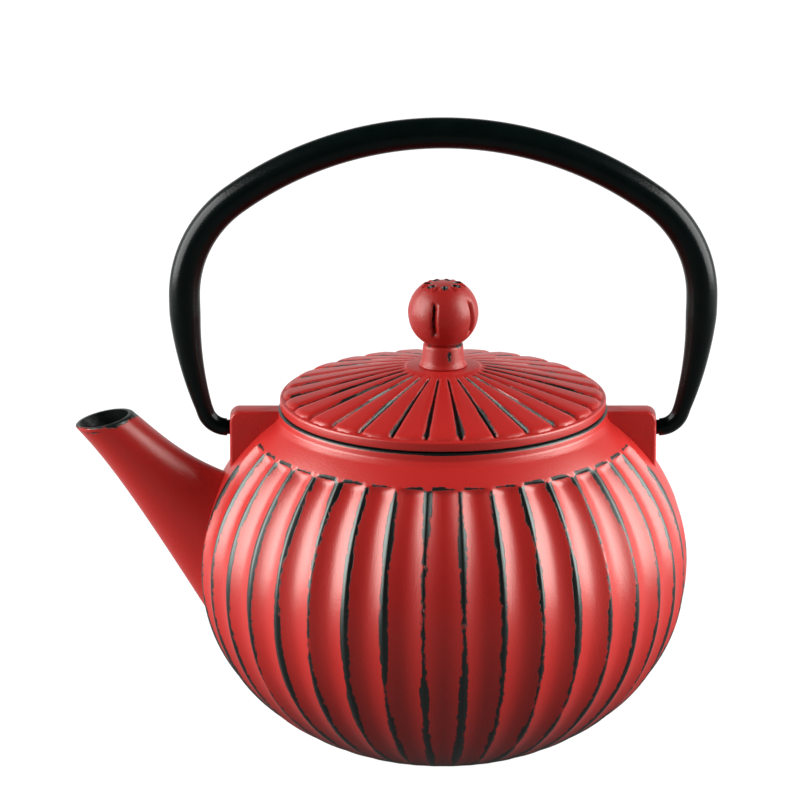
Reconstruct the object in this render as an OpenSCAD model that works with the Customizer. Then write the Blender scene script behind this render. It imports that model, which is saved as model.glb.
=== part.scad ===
// Cast iron teapot: a fluted iron pot with a cast spout and two cast lugs,
// a ribbed lid with a ball knob, a steel bail handle that swings in the lugs,
// and a lift-out steel tea infuser that hangs in the mouth.
// The origin is on the pot's axis, in the plane that it stands on.
// The spout points to -X, and the handle turns about an axis along X.

/* [Body] */
// Largest diameter of the pot, over the edges between its flutes
body_d = 140; // [130:1:150]
// Height of the widest ring above the table
belly_z = 52; // [50:0.5:54]
// Half the height that the pot's full oval would have above its widest ring
oval_h = 58.3; // [57.5:0.1:60]
// The same below the widest ring, where the pot is fuller
low_h = 57.4; // [56.5:0.1:60]
// Fullness of the pot below its widest ring, where 2 is a plain oval
fullness = 2.1; // [2:0.05:2.3]
// Thickness of the iron wall, measured under the flutes
wall = 2.6; // [2.2:0.1:4]
// Thickness of the iron at the floor
floor_t = 4; // [3:0.1:6]
// Number of upright flutes round the pot
flute_count = 38; // [26:4:42]
// Depth of the flutes at and above the widest ring
flute_depth = 1.5; // [0.8:0.1:2.2]
// Height of the ring where the flutes begin under the shoulder
flute_ring_z = 89.6; // [84:0.1:90]

/* [Neck] */
// Outer diameter of the collar round the mouth
neck_d = 94.2; // [92:0.2:97]
// Height of the collar's top face
neck_top = 97.8; // [96.5:0.1:100]
// Height of the collar's upright face
neck_h = 3.2; // [2:0.1:3.6]
// Inner diameter of the mouth, under the infuser's ledge
mouth_d = 82; // [78:0.5:84]
// Diameter of the ledge that the infuser hangs on
ledge_d = 88; // [86.5:0.5:89]
// Depth of that ledge below the collar's top face
ledge_h = 2; // [1.5:0.1:3]

/* [Lugs] */
// Distance from the pot's axis to each lug's outer face
lug_x = 60.9; // [59:0.1:63]
// Thickness of each lug, across the handle's axis
lug_t = 7.5; // [6.5:0.1:9]
// Drop from the collar's top face to the lugs' flat top
lug_drop = 0.5; // [0.3:0.1:1.5]
// Radius of each lug's upper corner
lug_corner = 2.8; // [1:0.1:4]
// Height of the handle's axis above the table
pivot_z = 91.8; // [90.5:0.1:92.5]
// Depth of the bore in each lug
bore_depth = 8; // [6:0.5:9]

/* [Spout] */
// Reach of the spout's lip from the pot's axis
spout_reach = 105.3; // [100:0.1:112]
// Height of the lip's outer edge
lip_z = 92.4; // [89:0.1:96]
// Diameter of the round lip
lip_d = 17; // [15:0.5:20]
// Tilt of the lip away from level, in degrees
lip_tilt = 13; // [5:1:25]
// Width of the spout where it leaves the pot
spout_root_w = 20; // [18:1:28]
// Thickness of the spout's wall
spout_wall = 2.5; // [2:0.1:3.5]

/* [Lid] */
// Diameter of the lid
lid_d = 93.2; // [91:0.2:95]
// Height of the lid's upright edge
lid_edge_h = 3.1; // [2.2:0.1:4]
// Rise of the lid from its edge to its hub
lid_rise = 9.2; // [7:0.1:11]
// Thickness of the lid's dome
lid_wall = 3; // [2.5:0.1:4]
// Number of ribs on the lid
lid_rib_count = 28; // [20:1:32]
// Depth of the lid's grooves at their outer ends
lid_rib_depth = 1.2; // [0.6:0.1:1.6]
// Diameter of the smooth hub under the knob
hub_d = 21.8; // [18:0.2:26]
// Width of the smooth edge outside the grooves
lid_border = 1.5; // [1:0.1:2.5]
// Gap between the skirt that centres the lid and the infuser's basket
skirt_gap = 1.9; // [1.5:0.1:5]
// Depth of the skirt below the lid's edge
skirt_h = 5; // [3:0.5:7]
// Gap between the lid and the collar
lid_gap = 0.1; // [0.05:0.05:0.5]

/* [Knob] */
// Diameter of the ball
knob_d = 20.2; // [18:0.1:23]
// Height of the collar between the lid and the ball's equator
knob_rise = 15.6; // [14:0.1:18]
// Diameter of the knob's collar at its middle
stem_d = 11.4; // [9:0.1:13]
// Diameter of the knob's collar where it meets the lid
stem_foot_d = 14; // [12:0.1:16]
// Number of upright slits in the ball
slit_count = 5; // [4:1:7]
// Number of small pits round the ball's crown
pit_count = 7; // [5:1:9]
// Diameter of the screw that holds the knob
screw_d = 3.5; // [3:0.1:3.6]

/* [Handle] */
// Diameter of the bail over its arch
bail_d = 8.9; // [7.5:0.1:10]
// Diameter of the bail at its thin ends
bail_end_d = 5; // [4.6:0.1:6]
// Half the width of the bail, to its centre line
bail_half_w = 73.7; // [71.5:0.1:79]
// Height of the top of the bail's centre line
bail_top_z = 178.8; // [170:0.1:190]
// Height where the bail is widest
bail_wide_z = 131; // [127:0.5:134]
// Radius of the bail's upper corners
bail_corner_r = 35; // [30:0.5:40]
// Radius of the tight bend above each pin
bail_bend_r = 6.5; // [5:0.1:7.5]
// Diameter of the pins at the bail's ends
pin_d = 4.2; // [3.5:0.1:4.6]
// Gap between each lug and the end of the bail
bail_gap = 0.8; // [0.5:0.1:1.5]
// Running clearance between a pin and its bore, on the radius
pin_clear = 0.08; // [0.05:0.01:0.1]

/* [Infuser] */
// Outer diameter of the basket
basket_d = 77; // [76:0.5:80]
// Depth of the basket below its flange
basket_h = 56; // [40:1:62]
// Thickness of the basket's sheet
sheet_t = 0.6; // [0.5:0.1:1]
// Clearance round the infuser's flange and the basket
infuser_clear = 0.4; // [0.2:0.1:0.8]
// Height of the solid band above the mesh
band_h = 9; // [6:0.5:12]
// Height of the ring round the basket's base
base_ring_h = 5; // [3:0.5:8]

/* [Hidden] */
$fn = 96;

body_r = body_d / 2;
neck_r = neck_d / 2;
iron = [0.72, 0.12, 0.11];
black = [0.08, 0.09, 0.08];
steel = [0.75, 0.76, 0.77];

// A point on the pot's oval, as [radius, height], at an angle t above the
// widest ring, moved outwards by d along the oval's normal. Below the widest
// ring the oval is drawn with its fullness as its power.
function oval(t, d = 0) =
    let (k = t < 0 ? fullness : 2, h = t < 0 ? low_h : oval_h,
        c = pow(cos(t), 2 / k), s = sign(t) * pow(abs(sin(t)), 2 / k),
        n = [pow(c, k - 1) / body_r, sign(t) * pow(abs(s), k - 1) / h], u = n / norm(n))
    [body_r * c + d * u[0], belly_z + h * s + d * u[1]];

// The angle t at which the oval, set in by d, has a height z
function oval_angle(z, d = 0) = z < belly_z
    ? -asin(pow((belly_z - z) / (low_h - d), fullness / 2)) : asin((z - belly_z) / (oval_h - d));

// A point at radius r, angle a from the front of the pot, and height z
function around(r, a, z) = [r * sin(a), -r * cos(a), z];

function mix(a, b, t) = a + (b - a) * t;
function clamp01(t) = max(0, min(1, t));
function bezier(p, t) = p[0] * pow(1 - t, 3) + 3 * p[1] * t * pow(1 - t, 2)
    + 3 * p[2] * t * t * (1 - t) + p[3] * pow(t, 3);

function centre(ring) = [for (axis = [0:2]) [for (p = ring) p[axis]] * [for (p = ring) 1] / len(ring)];

// A closed solid from rings of equally many points, bottom ring first, each
// ring running anticlockwise as seen from above. Each end is closed by a fan
// round the middle of its ring.
module skin(rings) {
    n = len(rings[0]);
    m = len(rings);
    sides = [for (i = [0:m - 2], j = [0:n - 1])
        let (a = i * n + j, b = i * n + (j + 1) % n)
        each [[a, a + n, b], [b, a + n, b + n]]];
    first = [for (j = [0:n - 1]) [m * n, j, (j + 1) % n]];
    last = [for (j = [0:n - 1]) [m * n + 1, (m - 1) * n + (j + 1) % n, (m - 1) * n + j]];
    polyhedron(
        points = concat([for (ring = rings) each ring], [centre(rings[0]), centre(rings[m - 1])]),
        faces = concat(first, sides, last));
}

// ---- Pot body ----

t_ring = oval_angle(flute_ring_z);
t_foot = oval_angle(0);
// Places across one flute, from its left edge (-1) to its right edge (1)
flute_steps = [-1, -0.6, -0.2, 0.2, 0.6];
// Drop of a flute's rounded end below the ring, in degrees on the oval
end_drop = 0.9;
// Length of the slope at a flute's end, in the same degrees
end_slope = 1.1;
flute_rows = 11;
columns = [for (k = [0:flute_count - 1], u = flute_steps) [k, u]];
function flute_angle(c) = (c[0] + c[1] / 2) * 360 / flute_count;
// The flutes under each lug start lower down, below a plain panel
panel_z = belly_z + 6;
panel_fade = 12;
function panel(c, z) =
    let (a = c[0] * 360 / flute_count, to_side = abs((a > 180 ? 360 - a : a) - 90))
    to_side < 270 / flute_count ? clamp01((z - panel_z) / panel_fade) : 0;
// Towards the foot the flutes get shallower as they get narrower
function flute_size(r, z) = flute_depth * (z < belly_z ? pow(r / body_r, 1.5) : 1);
function hollowed(c, p) = -flute_size(p[0], p[1]) * (1 - pow(c[1], 2)) * (1 - panel(c, p[1]));
function start_angle(c) = t_ring - end_drop * (1 - sqrt(1 - pow(c[1], 2)));
neck_base = neck_top - neck_h;
neck_round = 0.6;
// The shoulder ends this many degrees short of the collar's face
neck_fillet = 1;
t_neck = acos(neck_r / body_r) - neck_fillet;

module pot_skin() {
    flutes = [for (i = [flute_rows:-1:0]) [for (c = columns)
        let (t = mix(start_angle(c) - end_slope, t_foot, i / flute_rows),
            p = i == flute_rows ? [oval(t_foot)[0] + hollowed(c, oval(t_foot)), 0]
                : oval(t, hollowed(c, oval(t))))
        around(p[0], flute_angle(c), p[1])]];
    shoulder = [for (s = [0, 0.5, 1]) [for (c = columns)
        let (p = oval(mix(start_angle(c), t_neck, s)))
        around(p[0], flute_angle(c), p[1])]];
    collar = [for (p = [[neck_r, neck_base + neck_round], [neck_r, neck_top - neck_round],
            [neck_r - neck_round, neck_top]])
        [for (c = columns) around(p[0], flute_angle(c), p[1])]];
    skin(concat(flutes, shoulder, collar));
}

// The spout is a row of ovals, each held between a point on the spout's upper
// edge and a point on its lower edge. Both edges are smooth curves that run
// from the lip into the pot.
lip_low = [-spout_reach, lip_z];
lip_high = lip_low + lip_d * [cos(lip_tilt), sin(lip_tilt)];
spout_upper = [lip_high, lip_high + [9, -7.5],
    [-body_r - 2, belly_z + 27.7], [-body_r + 20, belly_z + 22.5]];
spout_lower = [lip_low, lip_low + [10.7, -11.7],
    [-body_r - 17.2, belly_z + 17.4], [-body_r + 13.3, belly_z - 33]];
spout_rows = 13;
spout_sides = 28;
// Widening of the spout's sides just before they enter the pot
root_flare = 1.5;

// One oval of the spout, at a share s of the way from the lip to the root
function spout_ring(s, inset) =
    let (top = bezier(spout_upper, s), low = bezier(spout_lower, s),
        mid = (top + low) / 2, half = norm(top - low) / 2 - inset,
        dir = (top - low) / norm(top - low),
        side = mix(lip_d / 2, spout_root_w / 2, pow(max(0, s), 1.4)) + root_flare * pow(s, 6) - inset)
    [for (j = [0:spout_sides - 1]) let (a = j * 360 / spout_sides)
        [mid[0] + half * cos(a) * dir[0], side * sin(a), mid[1] + half * cos(a) * dir[1]]];

module spout_outside() {
    skin([for (i = [spout_rows:-1:0]) spout_ring(i / spout_rows, 0)]);
}

// The channel runs a little past the lip, so that it opens there
module spout_channel() {
    skin([for (s = [0.95, 0.82, 0.7, 0.58, 0.46, 0.34, 0.22, 0.1, 0, -0.06]) spout_ring(s, spout_wall)]);
}

// The hollow of the pot: the oval set in by the wall, with a flat floor,
// then the mouth and the ledge that the infuser hangs on
hollow_d = -flute_depth - wall;
hollow_steps = 12;
// Size of the slope between the floor and the side
floor_slope_w = 4;
floor_slope_h = 2;
module pot_hollow() {
    t_low = oval_angle(floor_t + floor_slope_h, -hollow_d);
    t_high = acos(mouth_d / 2 / (body_r + hollow_d));
    side = [for (i = [0:hollow_steps]) oval(mix(t_low, t_high, i / hollow_steps), hollow_d)];
    rotate_extrude()
        polygon(concat([[0, floor_t], [side[0][0] - floor_slope_w, floor_t]], side,
            [[mouth_d / 2, neck_top - ledge_h], [ledge_d / 2, neck_top - ledge_h],
            [ledge_d / 2, neck_top + 1], [0, neck_top + 1]]));
}

// One lug: a plate that stands up from the shoulder, with a round top corner
// and a blind bore for the handle's pin. Its lower end is buried in the wall.
lug_top = neck_top - lug_drop;
lug_low = belly_z + 24;
lug_root = neck_r - 2;
module lug() {
    rotate([90, 0, 0])
        linear_extrude(height = lug_t, center = true)
            difference() {
                polygon([[lug_root, lug_top], [lug_root, lug_low + 10], [lug_x - 4, lug_low],
                    [lug_x, lug_low], [lug_x, lug_top]]);
                translate([lug_x - lug_corner, lug_top - lug_corner])
                    difference() {
                        square(lug_corner + 1);
                        circle(lug_corner);
                    }
            }
}

module lug_bore() {
    translate([lug_x - bore_depth, 0, pivot_z])
        rotate([0, 90, 0])
            cylinder(r = pin_d / 2 + pin_clear, h = bore_depth + 2);
}

module pot_body() {
    color(iron)
        difference() {
            union() {
                pot_skin();
                spout_outside();
                for (side = [0, 180]) rotate([0, 0, side]) lug();
            }
            pot_hollow();
            spout_channel();
            for (side = [0, 180]) rotate([0, 0, side]) lug_bore();
        }
}

// ---- Lid ----

lid_r = lid_d / 2;
hub_r = hub_d / 2;
lid_base = neck_top + lid_gap;
lid_edge = lid_base + lid_edge_h;
lid_top = lid_edge + lid_rise;
lid_groove_r = lid_r - lid_border;
skirt_r = basket_d / 2 - sheet_t - skirt_gap;
// Roundings of the lid's lower and upper edge, and of the hub's edge
lid_round = 0.8;
lid_bevel = 0.5;
hub_round = 0.6;
// Height of a rib over its grooves, as a share of the full depth
function rib_rise(u) = sqrt(1 - pow(abs(u), 2.5));
lid_rows = [0, 0.03, 0.3, 0.6, 0.92, 1];
lid_steps = [-1, -0.7, 0, 0.7];
lid_columns = [for (k = [0:lid_rib_count - 1], u = lid_steps) [k, u]];
function lid_angle(c) = (c[0] + c[1] / 2) * 360 / lid_rib_count;
// Height of the dome at a share s of the way from the hub to the grooves' ends
dome_ends = 0.4;
function dome_z(s) = mix(lid_top - dome_ends, lid_edge + dome_ends, pow(s, 1.15));
// The grooves deepen from the hub outwards, and stop in round tongues at the
// border. Each is shallower at its two ends.
tongue_l = 1.1;
hub_depth = 0.5;
end_depth = 0.35;
function tongue(u) = tongue_l * (1 - sqrt(1 - pow(u, 2)));

module lid_skin() {
    dome = [for (i = [len(lid_rows) - 1:-1:0]) [for (c = lid_columns)
        let (s = lid_rows[i], end = i == 0 || i == len(lid_rows) - 1,
            r = mix(hub_r, lid_groove_r + tongue_l / 2 - tongue(c[1]), s),
            depth = mix(hub_depth, 1, s) * lid_rib_depth,
            fall = end ? end_depth * depth : depth * (1 - rib_rise(c[1])))
        around(r, lid_angle(c), dome_z(s) - fall)]];
    edge = [for (p = [[lid_r - lid_round, lid_base], [lid_r, lid_base + lid_round],
            [lid_r, lid_edge - 2 * lid_bevel], [lid_r - lid_bevel, lid_edge]])
        [for (c = lid_columns) around(p[0], lid_angle(c), p[1])]];
    hub = [[for (c = lid_columns) around(hub_r - hub_round, lid_angle(c), lid_top)]];
    skin(concat(edge, dome, hub));
}

// The hollow under the dome and inside the skirt, up to a flat face that the
// screw's washer sits against
boss_face = lid_top - lid_wall - 1.6;
screw_clear = 0.15;
module lid_hollow() {
    inner_r = skirt_r - lid_wall;
    face_r = screw_d / 2 + 7;
    rotate_extrude()
        polygon([[0, lid_base - skirt_h - 1], [inner_r, lid_base - skirt_h - 1], [inner_r, lid_edge - 1],
            [face_r, boss_face], [0, boss_face]]);
}

module lid() {
    color(iron)
        difference() {
            union() {
                lid_skin();
                translate([0, 0, lid_base - skirt_h])
                    cylinder(r = skirt_r, h = skirt_h + 1);
            }
            lid_hollow();
            cylinder(r = screw_d / 2 + screw_clear, h = lid_top + 1);
        }
}

// ---- Knob ----

ball_z = lid_top + knob_rise;
knob_r = knob_d / 2;
crown_drop = 0.5;
thread_depth = 11;
// The stem flares at its foot, and again a little where it meets the ball
stem_flare = [0.6, 2.2];
stem_head = 0.4;

module knob() {
    color(iron)
        difference() {
            rotate_extrude()
                difference() {
                    union() {
                        translate([0, ball_z]) circle(knob_r);
                        polygon([[0, lid_top], [stem_foot_d / 2, lid_top],
                            [stem_foot_d / 2, lid_top + stem_flare[0]],
                            [stem_d / 2 + 0.3, lid_top + stem_flare[1]], [stem_d / 2, ball_z - knob_r + 1],
                            [stem_d / 2 + stem_head, ball_z - knob_r * 0.8], [0, ball_z]]);
                    }
                    translate([-knob_d, lid_top - 1]) square([knob_d, knob_d * 3]);
                    translate([0, ball_z + knob_r - crown_drop]) square(knob_d);
                }
            slits();
            crown_pits();
            translate([0, 0, lid_top - 1])
                cylinder(d = screw_d, h = thread_depth + 1);
        }
}

// Lens-shaped slits: each is the bite of an upright disc with a thin edge
slit_depth = 1.6;
slit_w = 2.2;
slit_turn = -71;
module slits() {
    disc_r = knob_r * 0.9;
    for (i = [0:slit_count - 1])
        rotate([0, 0, i * 360 / slit_count + slit_turn])
            translate([knob_r + disc_r - slit_depth, 0, ball_z])
                rotate([90, 0, 0])
                    rotate_extrude()
                        polygon([[0, -slit_depth], [disc_r * 0.8, -slit_w / 2], [disc_r, 0],
                            [disc_r * 0.8, slit_w / 2], [0, slit_depth]]);
}

// Small round pits in a ring round the crown
pit_r = 0.9;
module crown_pits() {
    for (i = [0:pit_count - 1])
        rotate([0, 0, i * 360 / pit_count])
            translate([knob_r * 0.5, 0, ball_z + sqrt(3) / 2 * knob_r])
                sphere(pit_r);
}

screw_head_h = 2;
screw_slot = 1;
washer_t = 0.8;

module knob_washer() {
    color(steel)
        translate([0, 0, boss_face - washer_t])
            difference() {
                cylinder(d = screw_d * 2.4, h = washer_t);
                translate([0, 0, -1]) cylinder(r = screw_d / 2 + screw_clear, h = washer_t + 2);
            }
}

// A pan-head screw with a slot, driven up through the lid into the knob
module knob_screw() {
    head_z = boss_face - washer_t - screw_head_h;
    color(steel)
        difference() {
            union() {
                translate([0, 0, head_z])
                    cylinder(d1 = screw_d * 1.6, d2 = screw_d * 1.9, h = screw_head_h);
                translate([0, 0, head_z]) cylinder(d = screw_d, h = lid_top + thread_depth - 0.5 - head_z);
            }
            translate([-screw_d, -screw_slot / 2, head_z - 1])
                cube([screw_d * 2, screw_slot, 1 + screw_head_h / 2]);
        }
}

// ---- Handle ----

pin_x = lug_x + bail_gap;
// The bail's half is four arcs, each running smoothly into the next: the
// arch, the corner, the long leg, and the tight bend above the pin
corner_drop = bail_top_z - bail_wide_z;
arch_r = (pow(bail_half_w - bail_corner_r, 2) + pow(corner_drop, 2) - pow(bail_corner_r, 2))
    / (2 * (corner_drop - bail_corner_r));
leg_in = bail_half_w - pin_x;
leg_h = bail_wide_z - pivot_z;
leg_r = (pow(leg_h - bail_bend_r, 2) + pow(leg_in, 2) - pow(bail_bend_r, 2)) / (2 * (leg_in - bail_bend_r));
arch_turn = atan2(bail_half_w - bail_corner_r, arch_r - corner_drop);
leg_turn = atan2(leg_h - bail_bend_r, leg_r - leg_in);
arch_steps = 6;
corner_steps = 5;
leg_steps = 6;
bend_steps = 4;

// A point on the bail's right half, as [x, z, heading], where the heading
// turns from 0 at the top, running outwards, to 180 at the pin, running in
function arch_point(t) = [arch_r * sin(t), bail_top_z - arch_r + arch_r * cos(t), t];
function corner_point(t) = [bail_half_w - bail_corner_r + bail_corner_r * sin(t),
    bail_wide_z + bail_corner_r * cos(t), t];
function leg_point(t) = [bail_half_w - leg_r + leg_r * cos(t), bail_wide_z - leg_r * sin(t), 90 + t];
function bend_point(t) = [pin_x + bail_bend_r * cos(t), pivot_z + bail_bend_r * (1 - sin(t)), 90 + t];
bail_half = concat(
    [for (i = [0:arch_steps - 1]) arch_point(i * arch_turn / arch_steps)],
    [for (i = [0:corner_steps - 1]) corner_point(mix(arch_turn, 90, i / corner_steps))],
    [for (i = [0:leg_steps - 1]) leg_point(i * leg_turn / leg_steps)],
    [for (i = [0:bend_steps]) bend_point(mix(leg_turn, 90, i / bend_steps))]);
// The tube is drawn thinner along its legs
taper_top = bail_wide_z - 6;
taper_low = pivot_z + 6;
function bail_radius(z) = mix(bail_end_d, bail_d, clamp01((z - taper_low) / (taper_top - taper_low))) / 2;
bail_sides = 14;
function bail_ring(p, side) =
    let (r = bail_radius(p[1]))
    [for (j = [0:bail_sides - 1]) let (a = j * 360 / bail_sides)
        [side * (p[0] + r * cos(a) * sin(p[2])), r * sin(a), p[1] + r * cos(a) * cos(p[2])]];

module bail() {
    half_n = len(bail_half);
    skin(concat(
        [for (i = [half_n - 1:-1:1]) bail_ring(bail_half[i], 1)],
        [for (i = [0:half_n - 1]) bail_ring(bail_half[i], -1)]));
}

module handle() {
    pin_in = bore_depth - 1;
    color(black)
        union() {
            bail();
            for (side = [0, 180])
                rotate([0, 0, side])
                    translate([lug_x - pin_in, 0, pivot_z])
                        rotate([0, 90, 0])
                            cylinder(d = pin_d, h = pin_in + bail_gap + 1);
        }
}

// ---- Infuser ----

basket_r = basket_d / 2;
flange_z = neck_top - ledge_h;
wall_low = flange_z - basket_h;
base_hem = 5;

// The pressed rim: a flat flange on the ledge, turned down into a band
module infuser_rim() {
    flange_r = ledge_d / 2 - infuser_clear;
    color(steel)
        rotate_extrude()
            polygon([[basket_r - sheet_t, flange_z - band_h], [basket_r, flange_z - band_h],
                [basket_r, flange_z], [flange_r, flange_z], [flange_r, flange_z + sheet_t],
                [basket_r - sheet_t, flange_z + sheet_t]]);
}

// The mesh wall, held inside the rim's band and the base ring
module infuser_wall() {
    color(steel)
        translate([0, 0, wall_low + sheet_t])
            difference() {
                cylinder(r = basket_r - sheet_t, h = basket_h - sheet_t - band_h / 4);
                translate([0, 0, -1]) cylinder(r = basket_r - 2 * sheet_t, h = basket_h);
            }
}

// The ring that is folded round the mesh at the base
module infuser_base_ring() {
    color(steel)
        rotate_extrude()
            polygon([[basket_r - base_hem, wall_low], [basket_r, wall_low],
                [basket_r, wall_low + base_ring_h], [basket_r - sheet_t, wall_low + base_ring_h],
                [basket_r - sheet_t, wall_low + sheet_t],
                [basket_r - base_hem, wall_low + sheet_t]]);
}

module infuser_base_mesh() {
    color(steel)
        translate([0, 0, wall_low + sheet_t])
            cylinder(r = basket_r - 2 * sheet_t, h = sheet_t);
}

pot_body();
lid();
knob();
knob_screw();
knob_washer();
handle();
infuser_rim();
infuser_wall();
infuser_base_ring();
infuser_base_mesh();
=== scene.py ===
# %% [markdown]
# # Dressing a cast iron teapot
# The teapot's working parts come from the CAD model and stay where they are.
# This lesson gives each one the form and the finish of the real piece: a
# casting with a spray of red over black, a bail of black steel, and a tea
# infuser of stainless sheet and mesh. Read it from the top: each step starts
# with a few words on the real piece, and then makes it.

# %% Load the frame
import math

import bpy
from mathutils import Matrix, Vector


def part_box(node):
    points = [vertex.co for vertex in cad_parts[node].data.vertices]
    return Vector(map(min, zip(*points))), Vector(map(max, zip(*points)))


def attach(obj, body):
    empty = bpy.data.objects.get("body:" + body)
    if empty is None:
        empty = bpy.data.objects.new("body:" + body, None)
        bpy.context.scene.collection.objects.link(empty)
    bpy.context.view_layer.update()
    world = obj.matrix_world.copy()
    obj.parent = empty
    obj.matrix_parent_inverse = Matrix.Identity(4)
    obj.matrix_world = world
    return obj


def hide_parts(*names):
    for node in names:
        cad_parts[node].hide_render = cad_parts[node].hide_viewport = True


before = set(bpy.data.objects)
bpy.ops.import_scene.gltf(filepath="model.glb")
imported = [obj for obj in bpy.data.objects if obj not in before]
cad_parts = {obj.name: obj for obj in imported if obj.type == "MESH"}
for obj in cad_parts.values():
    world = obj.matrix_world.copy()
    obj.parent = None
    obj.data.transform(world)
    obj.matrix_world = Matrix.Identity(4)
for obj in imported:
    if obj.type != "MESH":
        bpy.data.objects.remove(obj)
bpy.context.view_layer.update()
MM = 0.001

# %% [markdown]
# ## The camera
# A pot is shown from a little above, so that the lid reads as a disc and the
# flutes still run straight down. A long lens keeps the pot's sides from
# bulging. The camera looks along +Y, and it is aimed at a point left of the
# pot's axis, because the spout needs the room.

# %% Camera
TILT = math.radians(16.5)
CAMERA_DISTANCE = 3.0
LENS_MM = 472.5
AIM = Vector((-0.0123, 0, 0.0998))


def add_camera():
    camera = bpy.data.objects.new("camera", bpy.data.cameras.new("camera"))
    camera.data.lens = LENS_MM
    away = Vector((0, -math.cos(TILT), math.sin(TILT)))
    camera.location = AIM + CAMERA_DISTANCE * away
    camera.rotation_euler = (math.pi / 2 - TILT, 0, 0)
    bpy.context.scene.collection.objects.link(camera)
    bpy.context.scene.camera = camera


add_camera()
print(f"camera: a lens of {LENS_MM} mm, {CAMERA_DISTANCE} m away")

# %% [markdown]
# ## Sizes that the pieces share
# Most sizes are read from the CAD nodes, so that the dressed pieces fit them.
# The pot's wall is an oval, a little fuller in its lower half, and a point
# on it is named by an angle t above the widest ring, as a latitude names a
# place on a globe.

# %% Shared sizes
pot_low, pot_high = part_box("pot_body")
lid_low, lid_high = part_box("lid")
knob_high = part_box("knob")[1]
BODY_R = pot_high.x
NECK_TOP = pot_high.z
BELLY_Z = 52 * MM
OVAL_H = 58.3 * MM
LOW_H = 57.4 * MM
FULLNESS = 2.1
NECK_R = 47.1 * MM
NECK_H = 3.2 * MM
FLUTE_COUNT = 38
FLUTE_DEPTH = 1.5 * MM
FLUTE_RING_Z = 89.6 * MM
SPOUT_TIP = pot_low.x


def signed_power(value, power):
    return math.copysign(abs(value) ** power, value)


def oval_shape(low):
    """Half height and power of the oval, above or below its widest ring."""
    return (LOW_H, FULLNESS) if low else (OVAL_H, 2)


def oval_angle(z, inset=0.0):
    height, power = oval_shape(z < BELLY_Z)
    return math.asin(signed_power((z - BELLY_Z) / (height - inset), power / 2))


def oval_point(t, out=0.0):
    """Radius and height on the oval at angle t, moved outwards by out."""
    height, power = oval_shape(t < 0)
    r, z = math.cos(t) ** (2 / power), signed_power(math.sin(t), 2 / power)
    nr, nz = r ** (power - 1) / BODY_R, signed_power(z, power - 1) / height
    n = math.hypot(nr, nz)
    return BODY_R * r + out * nr / n, BELLY_Z + height * z + out * nz / n


def oval_place(r, z):
    """The angle t of a point near the oval, and its distance outwards."""
    height, power = oval_shape(z < BELLY_Z)
    a, b = r / BODY_R, (z - BELLY_Z) / height
    size = (a ** power + abs(b) ** power) ** (1 / power)
    t = math.atan2(signed_power(b, power / 2), a ** (power / 2))
    slope = math.hypot(a ** (power - 1) / BODY_R, abs(b) ** (power - 1) / height)
    return t, (size - 1) * size ** (power - 1) / slope


def mix(a, b, t):
    return a + (b - a) * t


def clamp(t):
    return min(1.0, max(0.0, t))


def smooth(t):
    t = clamp(t)
    return t * t * (3 - 2 * t)


print(f"pot: {BODY_R / MM:.1f} mm to its side, {NECK_TOP / MM:.1f} mm to its collar's top")

# %% [markdown]
# ## Working by rings
# Pots, lids and tubes are all walls drawn out ring by ring. By hand this is
# Add Circle, then Extrude and Scale, again and again. The helpers here do
# the same: `first_ring` adds the circle, and `next_ring` extrudes it and
# sets its size and height.

# %% Helpers for modelling
def mode(name):
    bpy.ops.object.mode_set(mode=name)


def freeze():
    """Moves the object's place, turn and scale into its mesh."""
    bpy.ops.object.transform_apply(location=True, rotation=True, scale=True)


def deselect():
    if bpy.context.object and bpy.context.object.mode != "OBJECT":
        mode("OBJECT")
    bpy.ops.object.select_all(action="DESELECT")


def make_active(obj):
    deselect()
    obj.select_set(True)
    bpy.context.view_layer.objects.active = obj


def first_ring(name, count, radius, z):
    """Adds a ring of points and leaves it selected in edit mode."""
    deselect()
    bpy.ops.mesh.primitive_circle_add(
        vertices=count, radius=radius, location=(0, 0, z), fill_type="NOTHING")
    obj = bpy.context.object
    obj.name = obj.data.name = name
    freeze()
    mode("EDIT")
    bpy.ops.mesh.select_all(action="SELECT")
    return obj


def next_ring(scale, rise):
    bpy.ops.mesh.extrude_region_move(TRANSFORM_OT_translate={"value": (0, 0, rise)})
    bpy.ops.transform.resize(value=(scale, scale, 1), center_override=(0, 0, 0))


def close_ring():
    """Closes the last ring with a fan of faces round its middle."""
    bpy.ops.mesh.extrude_region_move(TRANSFORM_OT_translate={"value": (0, 0, 0)})
    bpy.ops.mesh.merge(type="CENTER")


def select_open_rings():
    bpy.ops.mesh.select_all(action="DESELECT")
    bpy.ops.mesh.select_non_manifold(
        extend=False, use_wire=False, use_multi_face=False)


def face_outwards():
    """Turns all faces outwards and leaves edit mode."""
    bpy.ops.mesh.select_all(action="SELECT")
    bpy.ops.mesh.normals_make_consistent(inside=False)
    mode("OBJECT")


def wall_of_rings(name, profile, count):
    """An open wall drawn through (radius, height) points."""
    obj = first_ring(name, count, profile[0][0], profile[0][1])
    for (r0, z0), (r1, z1) in zip(profile, profile[1:]):
        next_ring(r1 / r0, z1 - z0)
    return obj


def turned(name, profile, count):
    """A turned form, closed at both ends by a fan."""
    obj = wall_of_rings(name, profile, count)
    close_ring()
    bpy.ops.mesh.select_all(action="DESELECT")
    mode("OBJECT")
    for i in range(count):
        obj.data.vertices[i].select = True
    mode("EDIT")
    close_ring()
    face_outwards()
    return obj


def band(name, profile, count):
    """A ring with a closed section, such as a flange or a hollow lid."""
    obj = wall_of_rings(name, profile, count)
    select_open_rings()
    bpy.ops.mesh.bridge_edge_loops()
    face_outwards()
    return obj


def apply_modifiers(obj):
    make_active(obj)
    for modifier in list(obj.modifiers):
        bpy.ops.object.modifier_apply(modifier=modifier.name)


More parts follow.
